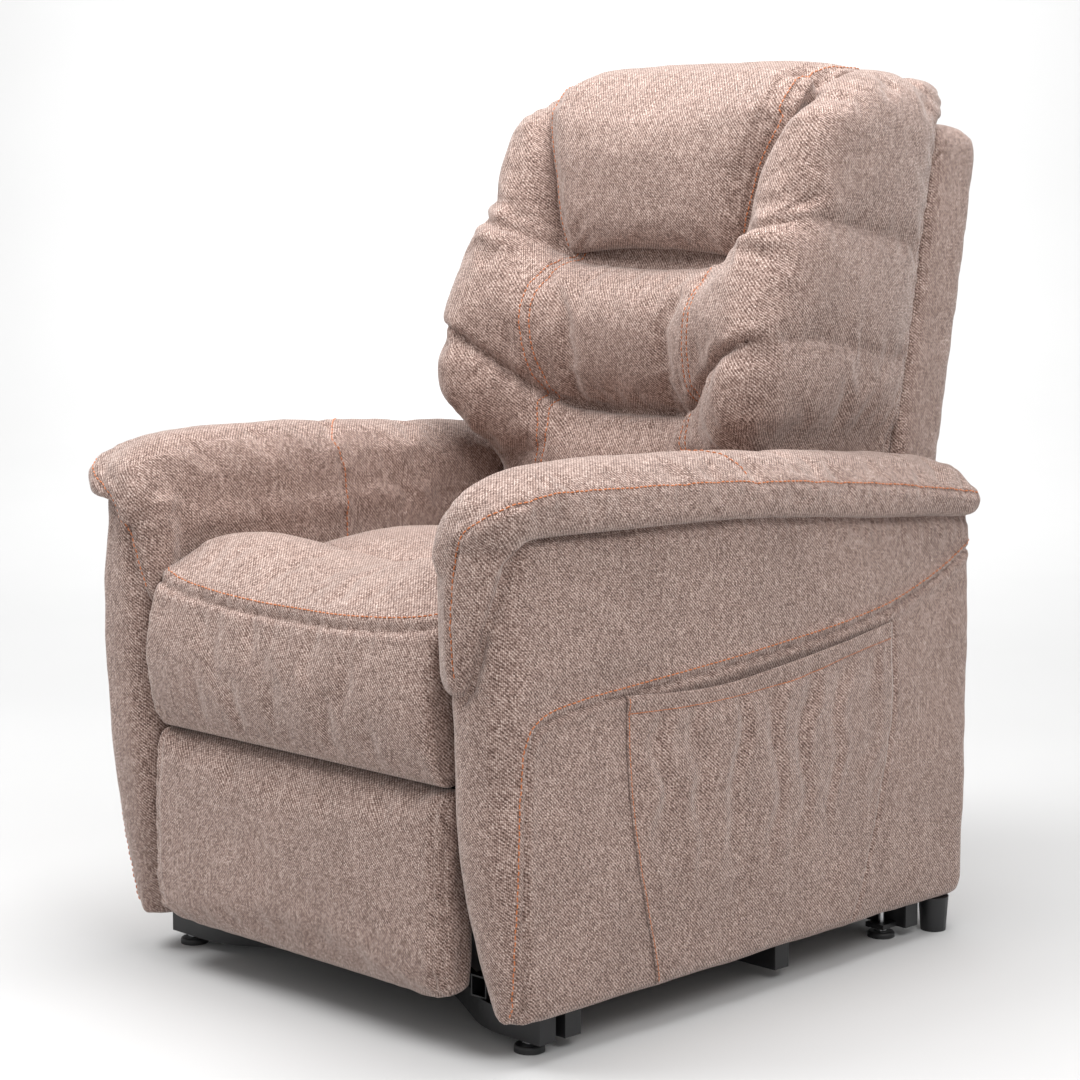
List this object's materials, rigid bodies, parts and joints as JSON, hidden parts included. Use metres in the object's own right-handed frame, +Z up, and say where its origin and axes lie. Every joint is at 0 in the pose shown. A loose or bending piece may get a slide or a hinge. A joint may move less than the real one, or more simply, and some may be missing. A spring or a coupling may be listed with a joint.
{
  "type": "lift recliner chair",
  "caption": "Upholstered rise-and-recline armchair with a stand-assist lift linkage, a reclining back, a folding footrest and side pockets.",
  "frame": {"origin": "on the floor, below the middle of the chair's bounding box at rest", "axes": "+Z up, the chair faces -Y, +X is the sitter's left"},
  "size_m": [0.756, 1.009, 1.122],
  "materials": {
    "woven_fabric": "chunky flat woven chenille in mixed taupe and light beige yarns",
    "black_steel": "semi-gloss black powder coat",
    "zinc_steel": "bright zinc plate",
    "black_plastic": "moulded satin black",
    "timber": "raw plywood"
  },
  "bodies": {
    "base": {"base_front_bar": "black_steel", "base_front_stubs": "black_steel", "base_cross_tube_mid": "black_steel", "base_cross_tube_rear": "black_steel", "base_side_rails": "black_steel", "motor_cross_tube": "black_steel", "levelling_foot_pads": "black_plastic", "levelling_foot_studs": "zinc_steel", "tube_end_caps": "black_plastic", "lift_brackets": "black_steel", "base_pivot_pins": "zinc_steel", "lift_motor_clevis": "black_steel"},
    "lift_frame": {"lift_arm_left": "black_steel", "lift_arm_right": "black_steel", "lift_torsion_tube": "black_steel", "lift_crank": "black_steel"},
    "stabilisers": {"stabiliser_links": "black_steel"},
    "lift_drive": {"lift_motor": "black_plastic"},
    "lift_drive_rod": {"lift_motor_rod": "zinc_steel"},
    "chassis": {"side_plate_left": "black_steel", "side_plate_right": "black_steel", "chassis_front_tube": "black_steel", "chassis_mid_tube": "black_steel", "lift_hangers": "black_steel", "chassis_pivot_pins": "zinc_steel", "footrest_plates": "black_steel", "seat_side_rails": "timber", "seat_front_rail": "timber", "seat_rear_rail": "timber", "seat_springs": "zinc_steel", "seat_cushion": "woven_fabric", "arm_inner_panel_left": "woven_fabric", "arm_inner_panel_right": "woven_fabric", "arm_boards": "timber", "arm_outer_panel_left": "woven_fabric", "arm_outer_panel_right": "woven_fabric", "arm_pad_left": "woven_fabric", "arm_pad_right": "woven_fabric", "side_pocket_left": "woven_fabric", "side_pocket_right": "woven_fabric", "rear_legs": "black_plastic", "rear_panel": "woven_fabric", "control_box": "black_plastic", "back_motor_bracket": "black_steel"},
    "back_drive": {"back_motor": "black_plastic"},
    "back_drive_rod": {"back_motor_rod": "zinc_steel"},
    "backrest": {"back_shell": "woven_fabric", "back_posts": "timber", "back_hinge_plates": "black_steel", "back_cross_rails": "timber", "back_lever": "black_steel", "back_cushion": "woven_fabric", "head_pillow": "woven_fabric"},
    "scissor_first": {"footrest_links_a": "black_steel"},
    "scissor_slotted": {"footrest_links_b": "black_steel"},
    "scissor_half": {"footrest_links_c": "black_steel"},
    "scissor_outer": {"footrest_links_d": "black_steel"},
    "footrest": {"footrest_lugs": "black_steel", "footrest_board": "timber", "footrest_pad": "woven_fabric"}
  },
  "joints": [
    {"name": "lift", "type": "hinge", "parent": "base", "child": "lift_frame", "pos_m": [0, -0.2625, 0.125], "axis": [1, 0, 0], "range_deg": [0, 50]},
    {"name": "seat_tilt", "type": "hinge", "parent": "lift_frame", "child": "chassis", "pos_m": [0, 0.1075, 0.15], "axis": [1, 0, 0], "range_deg": [-24, 0]},
    {"name": "stabiliser_swing", "type": "hinge", "parent": "base", "child": "stabilisers", "pos_m": [0, -0.3026, 0.1045], "axis": [1, 0, 0], "range_deg": [0, 57.42]},
    {"name": "lift_motor_swing", "type": "hinge", "parent": "base", "child": "lift_drive", "pos_m": [0, 0.1675, 0.1156], "axis": [1, 0, 0], "range_deg": [0, 2.75]},
    {"name": "lift_motor_travel", "type": "slide", "parent": "lift_drive", "child": "lift_drive_rod", "axis": [0, -0.974, 0.2265], "range_m": [0, 0.07167]},
    {"name": "back_recline", "type": "hinge", "parent": "chassis", "child": "backrest", "pos_m": [0, 0.2775, 0.32], "axis": [-1, 0, 0], "range_deg": [0, 42]},
    {"name": "back_motor_swing", "type": "hinge", "parent": "chassis", "child": "back_drive", "pos_m": [0, -0.2445, 0.248], "axis": [1, 0, 0], "range_deg": [0, 2.23]},
    {"name": "back_motor_travel", "type": "slide", "parent": "back_drive", "child": "back_drive_rod", "axis": [0, 0.9974, -0.0726], "range_m": [-0.07593, 0]},
    {"name": "footrest_raise", "type": "hinge", "parent": "chassis", "child": "scissor_first", "pos_m": [0, -0.3195, 0.273], "axis": [-1, 0, 0], "range_deg": [0, 62]},
    {"name": "scissor_cross", "type": "hinge", "parent": "scissor_first", "child": "scissor_slotted", "pos_m": [0, -0.33717, 0.18986], "axis": [-1, 0, 0], "range_deg": [-124, 0]},
    {"name": "scissor_low", "type": "hinge", "parent": "scissor_first", "child": "scissor_outer", "pos_m": [0, -0.35485, 0.10672], "axis": [-1, 0, 0], "range_deg": [-124, 0]},
    {"name": "scissor_high", "type": "hinge", "parent": "scissor_slotted", "child": "scissor_half", "pos_m": [0, -0.3431, 0.27465], "axis": [-1, 0, 0], "range_deg": [0, 124]},
    {"name": "footrest_tilt", "type": "hinge", "parent": "scissor_outer", "child": "footrest", "pos_m": [0, -0.3667, 0.2763], "axis": [-1, 0, 0], "range_deg": [0, 152]}
  ],
  "couplings": [
    {"joint": "seat_tilt", "follows": "lift", "ratio": -0.48},
    {"joint": "stabiliser_swing", "follows": "lift", "ratio": 1.1483},
    {"joint": "lift_motor_swing", "follows": "lift", "ratio": 0.054738},
    {"joint": "lift_motor_travel", "follows": "lift", "m_per_rad": 0.082018},
    {"joint": "back_motor_swing", "follows": "back_recline", "ratio": 0.052911},
    {"joint": "back_motor_travel", "follows": "back_recline", "m_per_rad": -0.10345},
    {"joint": "scissor_cross", "follows": "footrest_raise", "ratio": -2},
    {"joint": "scissor_low", "follows": "footrest_raise", "ratio": -2},
    {"joint": "scissor_high", "follows": "footrest_raise", "ratio": 2},
    {"joint": "footrest_tilt", "follows": "footrest_raise", "ratio": 2.4516}
  ]
}
